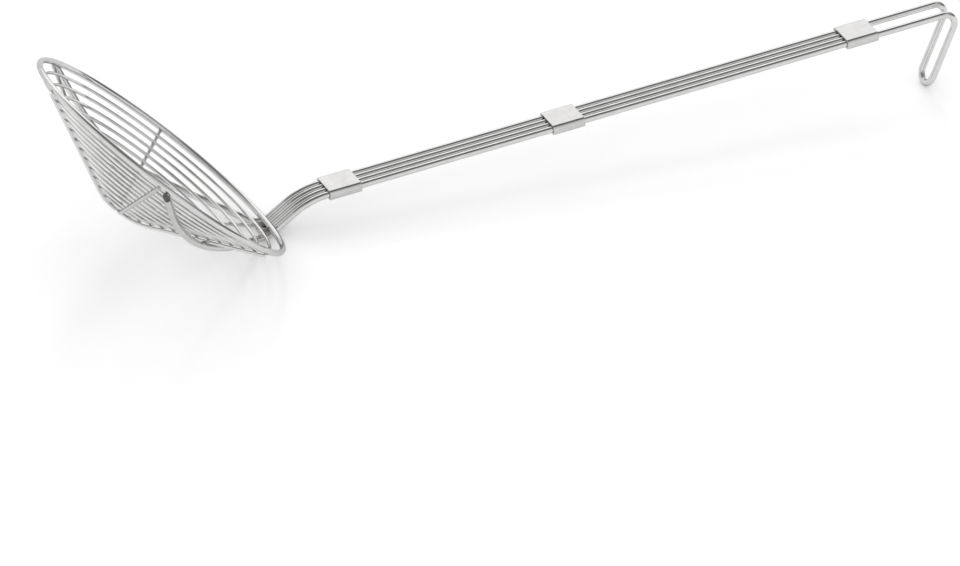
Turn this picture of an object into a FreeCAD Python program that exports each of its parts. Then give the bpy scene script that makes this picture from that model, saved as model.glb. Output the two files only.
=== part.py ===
"""Wire spider skimmer: a shallow cone of welded wire rings on a long four-wire handle.

Row frame, millimetres: +X from the bowl towards the hanging hook, +Y across, +Z up.
The skimmer lies as it does on a table, on the bend under the rim and on the tip of the hook.
The origin is the centre of the footprint, on the table.
"""
import FreeCAD, Part
import math
import os
from FreeCAD import Placement, Rotation, Vector

# Bowl
RIM_RADIUS = 70.0          # centreline of the rim wire
CONE_DEPTH = 33.5          # from the rim's centreline down to where the straight walls would meet
BOTTOM_RADIUS = 36.0       # rounding of the bowl's bottom, tangent to the walls
BOWL_TILT = 42.0           # the rim's plane against the table, degrees
RIM_HEIGHT = 4.8           # lowest point of the rim's centreline above the table
RING_COUNT = 12
RIM_WIRE = 3.0
RING_WIRE = 1.5
SPOKE_WIRE = 1.8
WELD_BITE = 0.08           # how far crossing wires sink into each other where they are welded
SPOKE_FOOT = 2.25          # the half spokes end this far from the bowl's axis
HANDLE_SPOKE_END = 66.0    # the spoke at the handle stops short of the inner wires' ends

# Handle
HANDLE_WIRE = 3.2
HANDLE_WIDTH = 10.8        # between the centrelines of the two outer wires
HANDLE_TILT = 4.2          # handle against the table, degrees
NECK_TILT = 35.0           # neck against the table, degrees
NECK_FOOT = Vector(-1.0, 0, 0.42)   # corner of the outer wires' bend under the rim
NECK_TOP_X = 19.5          # where the neck turns into the handle
HANDLE_LENGTH = 335.0      # from the top of the neck to the corner of the hook
HOOK_TURN = 116.0          # how far the hook turns back, degrees
FOOT_BEND = 9.0
NECK_BEND = 34.0
HOOK_BEND = 5.6
INNER_FOOT_LIFT = 0.6      # the inner wires' bend under the rim is this much higher
INNER_FOOT_BEND = 5.0
INNER_WIRE_REACH = 4.0     # how far the inner wires run on past that bend
INNER_WIRE_RISE = 20.0     # and how steeply they rise there, degrees
INNER_WIRE_END = 287.0     # end of the inner wires inside the last clip, from the top of the neck
ARM_END_ANGLE = 115.6      # the arms reach the rim this far round from the handle, degrees
ARM_CORNERS = (            # share of the rim's radius, degrees round from the handle, stand-off
    (0.695, 98.0, 4.47),
    (0.585, 68.0, 5.59),
    (0.675, 40.0, 4.47),
)
END_CUT = 52.0             # slant of the arms' cut ends, degrees

# Clips
CLIP_PLACES = {"neck_clip": 17.4, "middle_clip": 131.0, "hook_clip": 283.0}
CLIP_LENGTH = 16.0
CLIP_SHEET = 1.0
CLIP_FOLD = 0.9            # inner radius of the sheet's folds
CLIP_SEAM = 0.5            # gap between the sheet's edges

SIDES = {"left": 1, "right": -1}
BEND_SHARE = 0.45
SAME_PLACE = 1e-6
CONE_SLOPE = math.atan2(CONE_DEPTH, RIM_RADIUS)
ROUND_REACH = BOTTOM_RADIUS * math.sin(CONE_SLOPE)   # the bottom is round as far out as this
RIM_CENTRE = Vector(
    -RIM_RADIUS * math.cos(math.radians(BOWL_TILT)),
    0,
    RIM_HEIGHT + RIM_RADIUS * math.sin(math.radians(BOWL_TILT)),
)
BOWL_PLACE = Placement(RIM_CENTRE, Rotation(Vector(0, 1, 0), BOWL_TILT))
SPOKE_OFFSET = (RIM_WIRE + SPOKE_WIRE) / 2 - WELD_BITE
RING_OFFSET = SPOKE_OFFSET - (SPOKE_WIRE + RING_WIRE) / 2 + WELD_BITE


def profile(radius, offset=0.0):
    """Distance from the bowl's axis and depth under the rim, moved off the bowl's surface."""
    if radius < ROUND_REACH:
        slope = math.asin(radius / BOTTOM_RADIUS)
        centre_depth = CONE_DEPTH - BOTTOM_RADIUS / math.cos(CONE_SLOPE)
        depth = centre_depth + BOTTOM_RADIUS * math.cos(slope)
    else:
        slope = CONE_SLOPE
        depth = CONE_DEPTH * (1 - radius / RIM_RADIUS)
    return radius + offset * math.sin(slope), depth + offset * math.cos(slope)


def bowl_point(radius, angle, offset=0.0):
    """A point offset outwards from the bowl's surface; angle 0 is at the handle."""
    across, depth = profile(radius, offset)
    turn = math.radians(angle)
    return BOWL_PLACE.multVec(Vector(across * math.cos(turn), across * math.sin(turn), -depth))


def along(tilt, length=1.0):
    """A step in the XZ plane at a tilt above the X axis, in degrees."""
    return Vector(math.cos(math.radians(tilt)), 0, math.sin(math.radians(tilt))) * length


def rounded_path(points, radii):
    """Straight runs through points, with a tangent arc of the given radius at each inner one.

    A radius of None takes up BEND_SHARE of the shorter of the two runs.
    """
    edges = []
    start = points[0]
    for before, corner, after, radius in zip(points, points[1:], points[2:], radii):
        into = (corner - before).normalize()
        out = (after - corner).normalize()
        half_turn = into.getAngle(out) / 2
        if radius is None:
            shorter = min((corner - before).Length, (after - corner).Length)
            radius = BEND_SHARE * shorter / math.tan(half_turn)
        tangent = radius * math.tan(half_turn)
        arc_start = corner - into * tangent
        arc_end = corner + out * tangent
        bisector = (out - into).normalize()
        middle = corner + bisector * (radius / math.cos(half_turn) - radius)
        if (arc_start - start).Length > SAME_PLACE:
            edges.append(Part.LineSegment(start, arc_start).toShape())
        edges.append(Part.Arc(arc_start, middle, arc_end).toShape())
        start = arc_end
    if (points[-1] - start).Length > SAME_PLACE:
        edges.append(Part.LineSegment(start, points[-1]).toShape())
    return Part.Wire(edges)


def wire_along(path, diameter):
    """A round wire whose centreline is the path."""
    start = path.Edges[0].valueAt(path.Edges[0].FirstParameter)
    heading = path.Edges[0].tangentAt(path.Edges[0].FirstParameter)
    section = Part.Wire(Part.makeCircle(diameter / 2, start, heading))
    return path.makePipeShell([section], True, False)


def ring(radius, diameter, offset):
    """A closed ring of wire in the bowl."""
    across, depth = profile(radius, offset)
    torus = Part.makeTorus(across, diameter / 2, Vector(0, 0, -depth), Vector(0, 0, 1))
    torus.Placement = BOWL_PLACE
    return torus


def through_spoke(angle):
    """A spoke that runs from rim to rim, round the bottom of the bowl."""
    ends = [bowl_point(RIM_RADIUS, turn, SPOKE_OFFSET) for turn in (angle, angle + 180)]
    corner_depth = CONE_DEPTH + SPOKE_OFFSET / math.cos(CONE_SLOPE)
    corner = BOWL_PLACE.multVec(Vector(0, 0, -corner_depth))
    path = rounded_path([ends[0], corner, ends[1]], [BOTTOM_RADIUS + SPOKE_OFFSET])
    return wire_along(path, SPOKE_WIRE)


def half_spoke(angle, outer):
    """A spoke that ends beside the through spoke at the bottom of the bowl."""
    radii = (outer, ROUND_REACH, ROUND_REACH / 2, SPOKE_FOOT)
    start, round_start, round_middle, foot = [bowl_point(r, angle, SPOKE_OFFSET) for r in radii]
    wall = Part.LineSegment(start, round_start).toShape()
    bottom = Part.Arc(round_start, round_middle, foot).toShape()
    return wire_along(Part.Wire([wall, bottom]), SPOKE_WIRE)


def bowl_parts():
    """The rim, the rings inside the bowl and the spokes outside them."""
    parts = {"rim_ring": ring(RIM_RADIUS, RIM_WIRE, 0)}
    for count in range(1, RING_COUNT + 1):
        radius = RIM_RADIUS * count / (RING_COUNT + 1)
        parts[f"mesh_ring_{count:02d}"] = ring(radius, RING_WIRE, RING_OFFSET)
    parts["spoke_through"] = through_spoke(120)
    for angle in (0, 60, 180, 240):
        outer = HANDLE_SPOKE_END if angle == 0 else RIM_RADIUS
        parts[f"spoke_{angle:03d}"] = half_spoke(angle, outer)
    return parts


def arm_points(side):
    """Corners of one arm under the bowl, from its end at the rim to the bend under the rim."""
    rest_on_rim = (RIM_WIRE + HANDLE_WIRE) / 2 - WELD_BITE
    corners = [(1.0, ARM_END_ANGLE, rest_on_rim), *ARM_CORNERS]
    return [bowl_point(RIM_RADIUS * share, side * angle, offset) for share, angle, offset in corners]


def neck_top():
    rise = (NECK_TOP_X - NECK_FOOT.x) * math.tan(math.radians(NECK_TILT))
    return Vector(NECK_TOP_X, 0, NECK_FOOT.z + rise)


def handle_place(distance):
    """A point on the handle's middle line, from the top of the neck."""
    return neck_top() + along(HANDLE_TILT, distance)


def half_hairpin(side):
    """Corners of one half of the outer wire, from the arm's end to the tip of the hook."""
    across = Vector(0, side * HANDLE_WIDTH / 2, 0)
    corner = handle_place(HANDLE_LENGTH)
    leg = along(HANDLE_TILT - HOOK_TURN)
    leg_length = (corner.z - HANDLE_WIRE / 2) / -leg.z
    middle = [NECK_FOOT, neck_top(), corner, corner + leg * leg_length]
    return arm_points(side) + [point + across for point in middle]


def slanted_end(solid, end, before):
    """Shears a wire's end off at a slant, so that the cut faces outwards and down."""
    heading = (end - before).normalize()
    outward = (end - RIM_CENTRE).normalize()
    square_out = (outward - heading * outward.dot(heading)).normalize()
    slant = math.radians(END_CUT)
    normal = heading * math.cos(slant) + square_out * math.sin(slant)
    side = 4 * HANDLE_WIRE
    block = Part.makeBox(side, side, side, Vector(-side / 2, -side / 2, 0))
    block.Placement = Placement(end, Rotation(Vector(0, 0, 1), normal))
    return solid.cut(block)


def outer_wire():
    """One wire makes both arms, the outer wires of the handle and the hook."""
    left = half_hairpin(SIDES["left"])
    right = half_hairpin(SIDES["right"])
    overrun = HANDLE_WIRE
    half_radii = [None, None, None, FOOT_BEND, NECK_BEND, HOOK_BEND, HANDLE_WIDTH / 2]
    corners = left + right[::-1]
    first_run = (corners[0] - corners[1]).normalize() * overrun
    last_run = (corners[-1] - corners[-2]).normalize() * overrun
    extended = [corners[0] + first_run] + corners[1:-1] + [corners[-1] + last_run]
    solid = wire_along(rounded_path(extended, half_radii + half_radii[::-1]), HANDLE_WIRE)
    solid = slanted_end(solid, corners[0], corners[1])
    return slanted_end(solid, corners[-1], corners[-2])


def inner_wire(side):
    """A short-reaching wire beside the middle line, from under the rim into the last clip."""
    across = Vector(0, side * HANDLE_WIDTH / 6, 0)
    foot = NECK_FOOT + Vector(INNER_FOOT_LIFT / math.tan(math.radians(NECK_TILT)), 0, INNER_FOOT_LIFT)
    past_rim = foot + along(180 - INNER_WIRE_RISE, INNER_WIRE_REACH)
    corners = [past_rim, foot, neck_top(), handle_place(INNER_WIRE_END)]
    path = rounded_path([point + across for point in corners], [INNER_FOOT_BEND, NECK_BEND])
    return wire_along(path, HANDLE_WIRE)


def rounded_bar(length, half_width, half_height, radius):
    """A bar across the handle's line, with rounded long edges."""
    bar = Part.makeBox(
        length, 2 * half_width, 2 * half_height, Vector(-length / 2, -half_width, -half_height)
    )
    long_edges = [edge for edge in bar.Edges if abs(edge.tangentAt(edge.FirstParameter).x) > 0.9]
    return bar.makeFillet(radius, long_edges)


def clip(distance):
    """A strip of sheet folded round the four wires, with its seam underneath."""
    half_width = (HANDLE_WIDTH + HANDLE_WIRE) / 2
    half_height = HANDLE_WIRE / 2
    fold = CLIP_FOLD + CLIP_SHEET
    sleeve = rounded_bar(CLIP_LENGTH, half_width + CLIP_SHEET, half_height + CLIP_SHEET, fold)
    hollow = rounded_bar(2 * CLIP_LENGTH, half_width, half_height, CLIP_FOLD)
    seam_height = half_height + 2 * CLIP_SHEET
    seam_corner = Vector(-CLIP_LENGTH, -CLIP_SEAM / 2, -seam_height)
    seam = Part.makeBox(2 * CLIP_LENGTH, CLIP_SEAM, seam_height, seam_corner)
    sleeve = sleeve.cut(hollow).cut(seam)
    sleeve.Placement = Placement(handle_place(distance), Rotation(Vector(0, 1, 0), -HANDLE_TILT))
    return sleeve


def all_parts():
    parts = bowl_parts()
    parts["outer_wire"] = outer_wire()
    for name, side in SIDES.items():
        parts[f"inner_wire_{name}"] = inner_wire(side)
    for name, distance in CLIP_PLACES.items():
        parts[name] = clip(distance)
    return parts


def centre_on_table(parts):
    """Moves everything so that the origin is at the centre of the footprint, on the table."""
    box = Part.makeCompound(list(parts.values())).optimalBoundingBox()
    step = Vector(-box.Center.x, -box.Center.y, -box.ZMin)
    for shape in parts.values():
        shape.translate(step)
    return step


def main():
    parts = all_parts()
    step = centre_on_table(parts)
    print("moved by", step)
    os.makedirs("parts", exist_ok=True)
    for name, shape in parts.items():
        print(f"{name:16s} volume {shape.Volume:9.1f}  solids {len(shape.Solids)}  valid {shape.isValid()}")
        shape.exportStep(f"parts/{name}.step")


if __name__ == "__main__":
    main()
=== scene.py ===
"""Looks of the wire spider skimmer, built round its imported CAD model. Lengths are in metres."""
import math

import bmesh
import bpy
from mathutils import Matrix, Vector, noise
from mathutils.bvhtree import BVHTree


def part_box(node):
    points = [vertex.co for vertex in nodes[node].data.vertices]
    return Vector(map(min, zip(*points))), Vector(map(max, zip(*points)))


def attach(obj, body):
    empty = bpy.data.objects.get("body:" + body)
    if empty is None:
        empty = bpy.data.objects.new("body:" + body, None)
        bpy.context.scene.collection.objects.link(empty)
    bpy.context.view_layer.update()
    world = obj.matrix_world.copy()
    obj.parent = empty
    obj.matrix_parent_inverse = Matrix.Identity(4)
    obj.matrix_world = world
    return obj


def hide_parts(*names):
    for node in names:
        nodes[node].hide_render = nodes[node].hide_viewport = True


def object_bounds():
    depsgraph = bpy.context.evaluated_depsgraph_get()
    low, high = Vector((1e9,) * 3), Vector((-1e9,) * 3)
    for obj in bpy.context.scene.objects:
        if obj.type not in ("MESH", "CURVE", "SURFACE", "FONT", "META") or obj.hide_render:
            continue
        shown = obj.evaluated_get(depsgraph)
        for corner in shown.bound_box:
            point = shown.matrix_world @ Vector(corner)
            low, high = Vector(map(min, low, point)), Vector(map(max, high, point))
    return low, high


MM = 0.001

# Wires and clips, as built
RING_COUNT = 12
RIM_WIRE = 3.0 * MM
RING_WIRE = 1.5 * MM
HANDLE_WIRE = 3.2 * MM
SPOKE_ANGLES = (0, 60, 120, 180, 240, 300)   # round from the handle, degrees
CLIPS = ("neck_clip", "middle_clip", "hook_clip")
CLIP_LENGTH = 16.0 * MM
CLIP_SHEET = 1.0 * MM
CLIP_FOLD = 0.9 * MM       # inner radius of the sheet's folds
CLIP_SEAM = 0.5 * MM       # gap between the sheet's edges
BUNDLE_WIDTH = 14.0 * MM   # across the four wires in a clip

# Fine shape of the clips' sheet
CLIP_EDGE = 0.14 * MM      # rounding of the sheet's cut edges
EDGE_STEPS = 4             # loops across that rounding
BODY_STEPS = 14            # loops along the clip
FOLD_STEPS = 10            # points round a fold
PRESS_DEPTH = 0.018 * MM   # dip of the sheet between the wires
END_SWELL = 0.02 * MM      # swelling towards the clip's ends
WAVE_DEPTH = 0.03 * MM     # unevenness of the sheet
WAVE_SCALE = 160           # per metre
TIP_REACH = 0.35           # how far the seam's edges are rounded, as a share of half the sheet

# Welds: length round the bowl, width and height
RING_WELD = (1.75 * MM, 1.55 * MM, 0.72 * MM)
RIM_WELD = (2.3 * MM, 1.9 * MM, 0.7 * MM)
ARM_WELDS = (("rim_ring", 3.4 * MM), ("spoke_060", 2.8 * MM), ("spoke_through", 2.8 * MM))
ARM_WELD_REACH = 0.3 * MM  # wires nearer than this are welded
WELD_AROUND = 16           # points round a weld
WELD_ROWS = 7
WELD_SQUARENESS = 0.16
WELD_ROUGHNESS = 0.18
WELD_LUMPS = 1.7           # scale of the welds' unevenness

# Cut ends: loops of the sheared face, each a share of the wire's radius and a lift
SHEARED_FACE = (
    (1.004, -0.06 * MM),
    (1.0, 0.0),
    (0.955, 0.05 * MM),
    (0.86, 0.06 * MM),
    (0.8, 0.02 * MM),
    (0.6, 0.03 * MM),
    (0.35, 0.03 * MM),
)
ROUGH_SHARE = 0.9          # inside this share the face is torn
ROUGH_DEPTH = 0.06 * MM
ROUGH_SCALE = 900          # per metre
SMALLEST_END = 8           # triangles in a wire's flat end
SAME_PLACE = 1e-7
SAME_PLANE = 0.99999

# Steel: how far light falls off at its edges, and its clouds and pits
EDGE_TINT = 0.7
CLOUD_SHARE = 6            # clouds are this much finer than the slow changes of tone
CLOUD_DEPTH = 0.006 * MM
PIT_SCALE = 2600           # per metre
PIT_DEPTH = 0.003 * MM

# The camera, in the row frame; angles in degrees
CAMERA_PLACE = Vector((-1.8081, -3.8793, 2.4918))
CAMERA_YAW = 65.18
CAMERA_PITCH = 30.78
CAMERA_ROLL = 0.55
CAMERA_LENS = 399.75
SENSOR_WIDTH = 36.0

# The studio: brightness of the walls by height, the softbox behind the skimmer and the lamps
WALLS = ((0.0, 1.0), (0.50, 0.92), (0.78, 0.62), (0.87, 0.17), (1.0, 0.2))
SOFTBOX_DIRECTION = (0.64, 1.5, 1.12)
SOFTBOX_HALF_ANGLE = 28
SOFTBOX_BRIGHTNESS = 1.45
SOFTBOX_BLUR = 3           # degrees on each side of its edge
FLOOR_HALF_SIZE = 14.0
FLOOR_GAP = 0.02 * MM
FLOOR_GLOW = 0.12
SHADOW_LIGHT = ((0.64, 1.5, 1.0), 8, 0.28)     # direction, spread in degrees, strength
CEILING_LIGHT = ((0.0, -0.1, 1.0), 110, 1.1)

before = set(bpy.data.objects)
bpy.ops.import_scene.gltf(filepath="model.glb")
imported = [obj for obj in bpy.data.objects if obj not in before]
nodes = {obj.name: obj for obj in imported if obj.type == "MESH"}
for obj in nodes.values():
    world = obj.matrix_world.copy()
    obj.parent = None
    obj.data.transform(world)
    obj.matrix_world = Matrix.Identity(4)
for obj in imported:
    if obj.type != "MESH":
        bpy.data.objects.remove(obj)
bpy.context.view_layer.update()
cad_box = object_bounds()
scene = bpy.context.scene


# ---------------------------------------------------------------- materials

def material(name):
    made = bpy.data.materials.new(name)
    made.use_nodes = True
    tree = made.node_tree
    tree.nodes.clear()
    output = tree.nodes.new("ShaderNodeOutputMaterial")
    shader = tree.nodes.new("ShaderNodeBsdfPrincipled")
    tree.links.new(shader.outputs["BSDF"], output.inputs["Surface"])
    return made, tree, shader


def noise_node(tree, vector, scale, detail, roughness=0.55):
    node = tree.nodes.new("ShaderNodeTexNoise")
    node.inputs["Scale"].default_value = scale
    node.inputs["Detail"].default_value = detail
    node.inputs["Roughness"].default_value = roughness
    tree.links.new(vector, node.inputs["Vector"])
    return node.outputs["Fac"]


def spread(tree, value, low, high, start=0.3, stop=0.7):
    """Maps a noise value to a range."""
    node = tree.nodes.new("ShaderNodeMapRange")
    node.inputs["From Min"].default_value = start
    node.inputs["From Max"].default_value = stop
    node.inputs["To Min"].default_value = low
    node.inputs["To Max"].default_value = high
    tree.links.new(value, node.inputs["Value"])
    return node.outputs["Result"]


def blend_colours(tree, value, first, second):
    node = tree.nodes.new("ShaderNodeMix")
    node.data_type = "RGBA"
    node.inputs[6].default_value = (*first, 1)
    node.inputs[7].default_value = (*second, 1)
    tree.links.new(value, node.inputs["Factor"])
    return node.outputs[2]


def bump_chain(tree, shader, layers):
    """Bump from several heights, each given as (value, distance in metres)."""
    normal = None
    for value, distance in layers:
        node = tree.nodes.new("ShaderNodeBump")
        node.inputs["Strength"].default_value = 1.0
        node.inputs["Distance"].default_value = distance
        tree.links.new(value, node.inputs["Height"])
        if normal is not None:
            tree.links.new(normal, node.inputs["Normal"])
        normal = node.outputs["Normal"]
    tree.links.new(normal, shader.inputs["Normal"])


def place_coordinates(tree):
    return tree.nodes.new("ShaderNodeTexCoord").outputs["Object"]


def turned(tree, vector, tilt, scale):
    """Coordinates turned about Y and stretched, for a grain that runs one way."""
    node = tree.nodes.new("ShaderNodeMapping")
    node.inputs["Rotation"].default_value = (0, tilt, 0)
    node.inputs["Scale"].default_value = scale
    tree.links.new(vector, node.inputs["Vector"])
    return node.outputs["Vector"]


def steel(name, dark, light, rough, grain_tilt, grain_scale, grain_depth, mottle=160):
    """Bright steel: slow changes of tone and polish, drawing lines and fine pits."""
    made, tree, shader = material(name)
    place = place_coordinates(tree)
    shader.inputs["Metallic"].default_value = 1.0
    shader.inputs["Specular Tint"].default_value = (EDGE_TINT, EDGE_TINT, EDGE_TINT, 1)
    slow = noise_node(tree, place, mottle, 3)
    cloudy = noise_node(tree, place, mottle * CLOUD_SHARE, 4)
    grain = noise_node(tree, turned(tree, place, grain_tilt, grain_scale), 1.0, 3, 0.6)
    pits = noise_node(tree, place, PIT_SCALE, 2)
    tone = spread(tree, slow, 0.0, 1.0)
    tree.links.new(blend_colours(tree, tone, dark, light), shader.inputs["Base Color"])
    mixed = tree.nodes.new("ShaderNodeMath")
    mixed.operation = "MULTIPLY_ADD"
    tree.links.new(cloudy, mixed.inputs[0])
    mixed.inputs[1].default_value = 0.5
    halved = tree.nodes.new("ShaderNodeMath")
    halved.operation = "MULTIPLY"
    tree.links.new(grain, halved.inputs[0])
    halved.inputs[1].default_value = 0.5
    tree.links.new(halved.outputs[0], mixed.inputs[2])
    tree.links.new(spread(tree, mixed.outputs[0], *rough), shader.inputs["Roughness"])
    bump_chain(tree, shader, [(cloudy, CLOUD_DEPTH), (grain, grain_depth), (pits, PIT_DEPTH)])
    return made


def wear(node, made):
    node.data.materials.clear()
    node.data.materials.append(made)


# ---------------------------------------------------------------- places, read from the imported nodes

def middle(name):
    low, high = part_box(name)
    return (low + high) / 2


def ring_place(name, wire):
    """Centre and radius of a ring, from its box."""
    low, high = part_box(name)
    return (low + high) / 2, (high.y - low.y - wire) / 2


rim_centre, rim_radius = ring_place("rim_ring", RIM_WIRE)
rim_low, rim_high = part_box("rim_ring")
bowl_tilt = math.atan2(rim_high.z - rim_low.z - RIM_WIRE, rim_high.x - rim_low.x - RIM_WIRE)
BOWL = Matrix.Rotation(bowl_tilt, 3, "Y")
rings = [ring_place(f"mesh_ring_{count:02d}", RING_WIRE) for count in range(1, RING_COUNT + 1)]
handle_line = (middle("hook_clip") - middle("neck_clip")).normalized()
handle_tilt = math.atan2(handle_line.z, handle_line.x)


# ---------------------------------------------------------------- building helpers

def new_piece(name, mesh_maker, made):
    built = bmesh.new()
    mesh_maker(built)
    mesh = bpy.data.meshes.new(name)
    bmesh.ops.recalc_face_normals(built, faces=built.faces)
    built.to_mesh(mesh)
    built.free()
    mesh.materials.append(made)
    for face in mesh.polygons:
        face.use_smooth = True
    piece = bpy.data.objects.new(name, mesh)
    scene.collection.objects.link(piece)
    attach(piece, "root")
    return piece


def bridge(built, loops):
    """Quads between neighbouring closed loops of vertices."""
    for first, second in zip(loops, loops[1:]):
        count = len(first)
        for k in range(count):
            after = (k + 1) % count
            built.faces.new((first[k], first[after], second[after], second[k]))


# ---------------------------------------------------------------- clips

def sheet_profile():
    """Middle line of the folded sheet in the clip's own section, from seam edge to seam edge."""
    half_y = BUNDLE_WIDTH / 2 + CLIP_SHEET / 2
    half_z = HANDLE_WIRE / 2 + CLIP_SHEET / 2
    bend = CLIP_FOLD + CLIP_SHEET / 2
    points = []

    def run(start, stop, count):
        for k in range(count):
            share = k / count
            points.append((start[0] + (stop[0] - start[0]) * share, start[1] + (stop[1] - start[1]) * share))

    def corner(centre, start):
        for k in range(FOLD_STEPS):
            turn = math.radians(start + 90 * k / FOLD_STEPS)
            points.append((centre[0] + bend * math.cos(turn), centre[1] + bend * math.sin(turn)))

    run((CLIP_SEAM / 2, -half_z), (half_y - bend, -half_z), 12)
    corner((half_y - bend, -half_z + bend), -90)
    run((half_y, -half_z + bend), (half_y, half_z - bend), 3)
    corner((half_y - bend, half_z - bend), 0)
    run((half_y - bend, half_z), (bend - half_y, half_z), 26)
    corner((bend - half_y, half_z - bend), 90)
    run((-half_y, half_z - bend), (-half_y, bend - half_z), 3)
    corner((bend - half_y, bend - half_z), 180)
    run((bend - half_y, -half_z), (-CLIP_SEAM / 2, -half_z), 12)
    points.append((-CLIP_SEAM / 2, -half_z))
    return points


def profile_normals(points):
    """Outward directions of the sheet at the points of its middle line."""
    normals = []
    for k, point in enumerate(points):
        before = points[max(k - 1, 0)]
        after = points[min(k + 1, len(points) - 1)]
        run = Vector((after[0] - before[0], after[1] - before[1])).normalized()
        normals.append(Vector((run.y, -run.x)))
    return normals


def pressed(across, along):
    """How far the sheet's top and bottom dip between the wires and swell towards the ends."""
    wires = math.cos(across / (BUNDLE_WIDTH / 4) * 2 * math.pi)
    return -PRESS_DEPTH * (1 + wires) - END_SWELL * math.cos(along / CLIP_LENGTH * math.pi)


def clip_section(built, to_row, along, half_sheet, points, normals, seed):
    """One closed loop round the sheet's thickness at a station along the clip."""
    outer, inner = [], []
    for point, normal in zip(points, normals):
        flat = abs(normal.y) > 0.95 and abs(point[0]) < BUNDLE_WIDTH / 2 - CLIP_FOLD
        press = pressed(point[0], along) if flat else 0.0
        wave = noise.noise(Vector((point[0], point[1], along + seed)) * WAVE_SCALE) * WAVE_DEPTH
        base = Vector((point[0], point[1])) + normal * (press * 0.5 + min(wave, 0.0))
        for side, row in ((1, outer), (-1, inner)):
            spot = base + normal * (side * half_sheet)
            row.append(built.verts.new(to_row @ Vector((along, spot.x, spot.y))))
    tips = []
    for row_end in (-1, 0):
        normal = normals[row_end]
        run = Vector((-normal.y, normal.x)) if row_end == -1 else Vector((normal.y, -normal.x))
        tip = Vector(points[row_end]) + run * half_sheet * TIP_REACH
        tips.append(built.verts.new(to_row @ Vector((along, tip.x, tip.y))))
    return outer + [tips[0]] + inner[::-1] + [tips[1]]


def make_clip(name, seed, made):
    turn = Matrix.Rotation(-handle_tilt, 4, "Y")
    to_row = Matrix.Translation(middle(name)) @ turn
    points = sheet_profile()
    normals = profile_normals(points)
    half = CLIP_LENGTH / 2

    def build(built):
        edge = []
        for k in range(EDGE_STEPS + 1):
            turn_here = math.pi / 2 * k / EDGE_STEPS
            inset = CLIP_EDGE * (1 - math.sin(turn_here))
            edge.append((-half + CLIP_EDGE * (1 - math.cos(turn_here)), CLIP_SHEET / 2 - inset))
        step = (CLIP_LENGTH - 2 * CLIP_EDGE) / BODY_STEPS
        body = [(-half + CLIP_EDGE + step * k, CLIP_SHEET / 2) for k in range(1, BODY_STEPS)]
        mirrored = [(-along, half_sheet) for along, half_sheet in reversed(edge)]
        loops = [
            clip_section(built, to_row, along, half_sheet, points, normals, seed)
            for along, half_sheet in edge + body + mirrored
        ]
        bridge(built, loops)
        for loop in (loops[0], loops[-1]):
            count = (len(loop) - 2) // 2
            outer, inner_row = loop[:count], loop[count + 1:2 * count + 1][::-1]
            for k in range(count - 1):
                built.faces.new((outer[k], outer[k + 1], inner_row[k + 1], inner_row[k]))
            built.faces.new((outer[-1], loop[count], inner_row[-1]))
            built.faces.new((outer[0], inner_row[0], loop[-1]))

    piece = new_piece(f"{name}_sheet", build, made)
    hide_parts(name)


# ---------------------------------------------------------------- welds

def nugget(built, centre, out, run, length, width, height, seed):
    """A weld where two wires cross: a flattened, uneven collar round the contact."""
    side = out.cross(run).normalized()
    run = side.cross(out).normalized()
    loops = []
    for row in range(1, WELD_ROWS):
        polar = math.pi * row / WELD_ROWS
        loop = []
        for k in range(WELD_AROUND):
            turn = 2 * math.pi * k / WELD_AROUND
            squash = 1 + WELD_SQUARENESS * math.cos(4 * turn)
            place = Vector((math.cos(turn), math.sin(turn), polar)) * WELD_LUMPS
            rough = 1 + WELD_ROUGHNESS * noise.noise(place + Vector((seed, 0, 0)))
            reach = math.sin(polar) * squash * rough
            spot = (
                centre
                + run * (reach * math.cos(turn) * length / 2)
                + side * (reach * math.sin(turn) * width / 2)
                + out * (math.cos(polar) * height / 2 * rough)
            )
            loop.append(built.verts.new(spot))
        loops.append(loop)
    bridge(built, loops)
    for loop, sign in ((loops[0], 1), (loops[-1], -1)):
        pole = built.verts.new(centre + out * (sign * height / 2))
        for k in range(WELD_AROUND):
            built.faces.new((loop[k], loop[(k + 1) % WELD_AROUND], pole))


def slope_at(count):
    """Slope of the bowl's wall at a ring, from the rings on each side of it."""
    places = [((centre - rim_centre).length, radius) for centre, radius in rings] + [(0.0, rim_radius)]
    low = places[max(count - 1, 0)]
    high = places[min(count + 1, len(places) - 1)]
    return math.atan2(low[0] - high[0], high[1] - low[1])


def bowl_directions(angle, slope):
    """Outward normal of the wall and the direction round the bowl, in the row frame."""
    turn = math.radians(angle)
    out = Vector((math.cos(turn) * math.sin(slope), math.sin(turn) * math.sin(slope), -math.cos(slope)))
    round_bowl = Vector((-math.sin(turn), math.cos(turn), 0))
    return BOWL @ out, BOWL @ round_bowl


def ring_spot(centre, radius, angle):
    turn = math.radians(angle)
    return centre + BOWL @ Vector((math.cos(turn), math.sin(turn), 0)) * radius


def ring_welds(built):
    for count, (centre, radius) in enumerate(rings):
        slope = slope_at(count)
        for angle in SPOKE_ANGLES:
            out, round_bowl = bowl_directions(angle, slope)
            spot = ring_spot(centre, radius, angle) + out * (RING_WIRE / 2)
            nugget(built, spot, out, round_bowl, *RING_WELD, count * 7.3 + angle)


def rim_welds(built):
    slope = slope_at(RING_COUNT - 1)
    for angle in SPOKE_ANGLES[1:]:
        out, round_bowl = bowl_directions(angle, slope)
        spot = ring_spot(rim_centre, rim_radius, angle) + out * (RIM_WIRE / 2)
        nugget(built, spot, out, round_bowl, *RIM_WELD, angle * 0.31)


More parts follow.
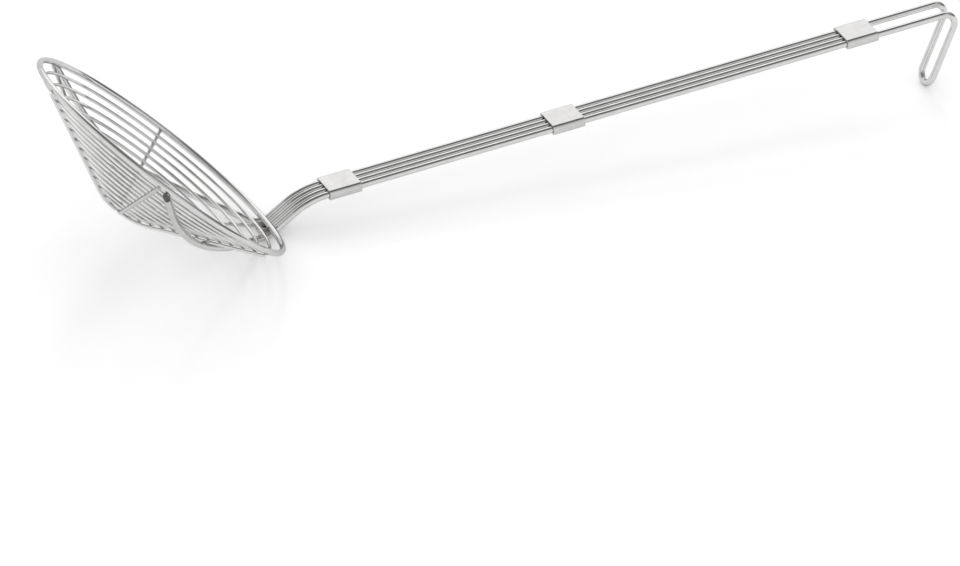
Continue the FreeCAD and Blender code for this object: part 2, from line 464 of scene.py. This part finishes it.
def touching_spots(name, other, reach):
    """Middles of the places where one wire comes within reach of another."""
    tree = BVHTree.FromPolygons(
        [vertex.co for vertex in nodes[other].data.vertices],
        [tuple(face.vertices) for face in nodes[other].data.polygons],
    )
    close = []
    for vertex in nodes[name].data.vertices:
        found, _, _, gap = tree.find_nearest(vertex.co, reach)
        if found is not None:
            close.append((gap, (vertex.co + found) / 2))
    spots = []
    for _, spot in sorted(close, key=lambda pair: pair[0]):
        if all((spot - kept).length > 4 * HANDLE_WIRE for kept in spots):
            spots.append(spot)
    return spots


def arm_welds(built):
    """The arms' welds to the rim and to the spokes they cross."""
    slope = slope_at(RING_COUNT - 1)
    for other, width in ARM_WELDS:
        for count, spot in enumerate(touching_spots("outer_wire", other, ARM_WELD_REACH)):
            local = BOWL.transposed() @ (spot - rim_centre)
            out, round_bowl = bowl_directions(math.degrees(math.atan2(local.y, local.x)), slope)
            nugget(built, spot, out, round_bowl, width, 0.9 * width, 0.5 * width, width / MM + count * 3.1)


# ---------------------------------------------------------------- cut ends

def end_faces(node):
    """Flat ends of a wire: small groups of many triangles in one plane."""
    source = bmesh.new()
    source.from_mesh(node.data)
    bmesh.ops.remove_doubles(source, verts=source.verts, dist=SAME_PLACE)
    source.faces.ensure_lookup_table()
    seen, groups = set(), []
    for face in source.faces:
        if face.index in seen:
            continue
        group, queue = [], [face]
        seen.add(face.index)
        while queue:
            here = queue.pop()
            group.append(here)
            for edge in here.edges:
                for other in edge.link_faces:
                    if other.index not in seen and other.normal.dot(face.normal) > SAME_PLANE:
                        seen.add(other.index)
                        queue.append(other)
        found = {vertex.index: vertex.co.copy() for member in group for vertex in member.verts}
        corners = list(found.values())
        spread_out = max((corner - corners[0]).length for corner in corners)
        if len(group) >= SMALLEST_END and spread_out < 3 * HANDLE_WIRE:
            groups.append((corners, face.normal.copy()))
    source.free()
    return groups


def ordered(corners, normal):
    """The middle of a flat end, and its corners in order round it."""
    centre = sum(corners, Vector()) / len(corners)
    first = (corners[0] - centre).normalized()
    second = normal.cross(first)

    def turn_of(corner):
        return math.atan2((corner - centre).dot(second), (corner - centre).dot(first))

    return centre, sorted(corners, key=turn_of)


def end_cap(built, corners, normal, seed):
    """The face a shear leaves: a rolled lip, a step and an uneven middle."""
    centre, border = ordered(corners, normal)
    loops = []
    for share, lift in SHEARED_FACE:
        loop = []
        for corner in border:
            spot = centre + (corner - centre) * share
            if share < ROUGH_SHARE:
                spot += normal * noise.noise(spot * ROUGH_SCALE + Vector((seed, 0, 0))) * ROUGH_DEPTH
            loop.append(built.verts.new(spot + normal * lift))
        loops.append(loop)
    bridge(built, loops)
    pole = built.verts.new(centre + normal * SHEARED_FACE[-1][1])
    last = loops[-1]
    for k in range(len(last)):
        built.faces.new((last[k], last[(k + 1) % len(last)], pole))


def cut_ends(built, names):
    seed = 0
    for name in names:
        for corners, normal in end_faces(nodes[name]):
            end_cap(built, corners, normal, seed)
            seed += 1


def arm_cut_ends(built):
    cut_ends(built, ("outer_wire",))


def inner_cut_ends(built):
    cut_ends(built, ("inner_wire_left", "inner_wire_right", "spoke_000"))


# ---------------------------------------------------------------- everything

handle_steel = steel("polished_handle_wire", (0.61, 0.605, 0.60), (0.68, 0.675, 0.67), (0.05, 0.11),
                     handle_tilt, (60, 3200, 3200), 0.004 * MM)
mesh_steel = steel("polished_mesh_wire", (0.63, 0.625, 0.62), (0.72, 0.715, 0.71), (0.05, 0.12),
                   bowl_tilt, (2400, 2400, 2400), 0.003 * MM)
sheet_steel = steel("satin_clip_sheet", (0.54, 0.535, 0.53), (0.60, 0.595, 0.59), (0.16, 0.24),
                    handle_tilt, (90, 4200, 4200), 0.006 * MM)
weld_steel = steel("welded_steel", (0.34, 0.34, 0.34), (0.56, 0.56, 0.55), (0.25, 0.45),
                   0.0, (1500, 1500, 1500), 0.02 * MM, 600)
# Cut ends: a rougher, torn face is real, but the near-black base colour is painted shade, far darker than the
# steel itself
cut_end_painted_shade_steel = steel("cut_end_painted_shade_steel", (0.07, 0.07, 0.068), (0.15, 0.148, 0.144), (0.35, 0.5),
                      0.0, (600, 5200, 5200), 0.03 * MM, 500)

for name, node in nodes.items():
    wear(node, mesh_steel if name.startswith(("mesh_ring", "spoke")) else handle_steel)
for seed, name in enumerate(CLIPS):
    make_clip(name, seed * 3.7, sheet_steel)
new_piece("ring_welds", ring_welds, weld_steel)
new_piece("rim_welds", rim_welds, weld_steel)
new_piece("arm_welds", arm_welds, weld_steel)
# the arms' cut ends wear the painted shade material
new_piece("arm_cut_ends", arm_cut_ends, cut_end_painted_shade_steel)
new_piece("inner_cut_ends", inner_cut_ends, weld_steel)


# ---------------------------------------------------------------- studio

def make_floor():
    built = bmesh.new()
    bmesh.ops.create_grid(built, x_segments=24, y_segments=24, size=FLOOR_HALF_SIZE)
    mesh = bpy.data.meshes.new("studio_floor")
    built.to_mesh(mesh)
    built.free()
    floor = bpy.data.objects.new("studio_floor", mesh)
    scene.collection.objects.link(floor)
    floor.location.z = cad_box[0].z - FLOOR_GAP
    made, tree, shader = material("white_sweep")
    place = place_coordinates(tree)
    shader.inputs["Specular IOR Level"].default_value = 0.2
    shader.inputs["Emission Color"].default_value = (1, 1, 1, 1)
    shader.inputs["Emission Strength"].default_value = FLOOR_GLOW
    tone = spread(tree, noise_node(tree, place, 3.0, 2), 0.0, 1.0)
    white = blend_colours(tree, tone, (0.9, 0.9, 0.9), (0.915, 0.915, 0.915))
    tree.links.new(white, shader.inputs["Base Color"])
    rough = spread(tree, noise_node(tree, place, 40.0, 3), 0.75, 0.9)
    tree.links.new(rough, shader.inputs["Roughness"])
    bump_chain(tree, shader, [(noise_node(tree, place, 300.0, 3), 0.02 * MM)])
    mesh.materials.append(made)


def make_sun(name, direction, spread_angle, strength):
    """Even light on the whole floor, left out of the reflections."""
    lamp = bpy.data.lights.new(name, "SUN")
    lamp.angle = math.radians(spread_angle)
    lamp.energy = strength
    light = bpy.data.objects.new(name, lamp)
    scene.collection.objects.link(light)
    aim = Vector(direction).normalized()
    light.location = aim
    light.visible_glossy = False
    light.rotation_mode = "QUATERNION"
    light.rotation_quaternion = aim.to_track_quat("Z", "Y")


def make_world():
    """A white studio: pale walls, a darker ceiling, a dark far side and a big softbox behind."""
    world = bpy.data.worlds.new("studio")
    scene.world = world
    world.use_nodes = True
    tree = world.node_tree
    tree.nodes.clear()
    output = tree.nodes.new("ShaderNodeOutputWorld")
    background = tree.nodes.new("ShaderNodeBackground")
    direction = tree.nodes.new("ShaderNodeTexCoord").outputs["Generated"]
    split = tree.nodes.new("ShaderNodeSeparateXYZ")
    ramp = tree.nodes.new("ShaderNodeValToRGB")
    tree.links.new(direction, split.inputs["Vector"])
    tree.links.new(split.outputs["Z"], ramp.inputs["Fac"])
    while len(ramp.color_ramp.elements) < len(WALLS):
        ramp.color_ramp.elements.new(0.5)
    for element, (height, shade) in zip(ramp.color_ramp.elements, WALLS):
        element.position = height
        element.color = (shade, shade, shade, 1)
    side = tree.nodes.new("ShaderNodeVectorMath")
    side.operation = "SCALE"
    tree.links.new(ramp.outputs["Color"], side.inputs[0])
    tree.links.new(spread(tree, split.outputs["X"], 1.0, 0.2, 0.5, 0.95), side.inputs["Scale"])
    facing = tree.nodes.new("ShaderNodeVectorMath")
    facing.operation = "DOT_PRODUCT"
    tree.links.new(direction, facing.inputs[0])
    facing.inputs[1].default_value = Vector(SOFTBOX_DIRECTION).normalized()
    edge = [math.cos(math.radians(SOFTBOX_HALF_ANGLE + turn)) for turn in (SOFTBOX_BLUR, -SOFTBOX_BLUR)]
    box = spread(tree, facing.outputs["Value"], 0.0, 1.0, *edge)
    mixed = tree.nodes.new("ShaderNodeMix")
    mixed.data_type = "RGBA"
    tree.links.new(box, mixed.inputs["Factor"])
    tree.links.new(side.outputs["Vector"], mixed.inputs[6])
    mixed.inputs[7].default_value = (*[SOFTBOX_BRIGHTNESS] * 3, 1)
    tree.links.new(mixed.outputs[2], background.inputs["Color"])
    tree.links.new(background.outputs["Background"], output.inputs["Surface"])


def make_camera():
    yaw, pitch, roll = (math.radians(a) for a in (CAMERA_YAW, CAMERA_PITCH, CAMERA_ROLL))
    ahead = Vector((math.cos(pitch) * math.cos(yaw), math.cos(pitch) * math.sin(yaw), -math.sin(pitch)))
    level_right = Vector((math.sin(yaw), -math.cos(yaw), 0))
    level_up = level_right.cross(ahead)
    right = level_right * math.cos(roll) + level_up * math.sin(roll)
    up = level_up * math.cos(roll) - level_right * math.sin(roll)
    data = bpy.data.cameras.new("camera")
    data.lens = CAMERA_LENS
    data.sensor_width = SENSOR_WIDTH
    data.clip_start = 0.05
    data.clip_end = 100.0
    camera = bpy.data.objects.new("camera", data)
    scene.collection.objects.link(camera)
    camera.matrix_world = Matrix.Translation(CAMERA_PLACE) @ Matrix((right, up, -ahead)).transposed().to_4x4()
    scene.camera = camera


make_floor()
make_world()
make_sun("shadow_light", *SHADOW_LIGHT)
make_sun("ceiling_light", *CEILING_LIGHT)
make_camera()
scene.view_settings.view_transform = "Standard"

bpy.context.view_layer.update()
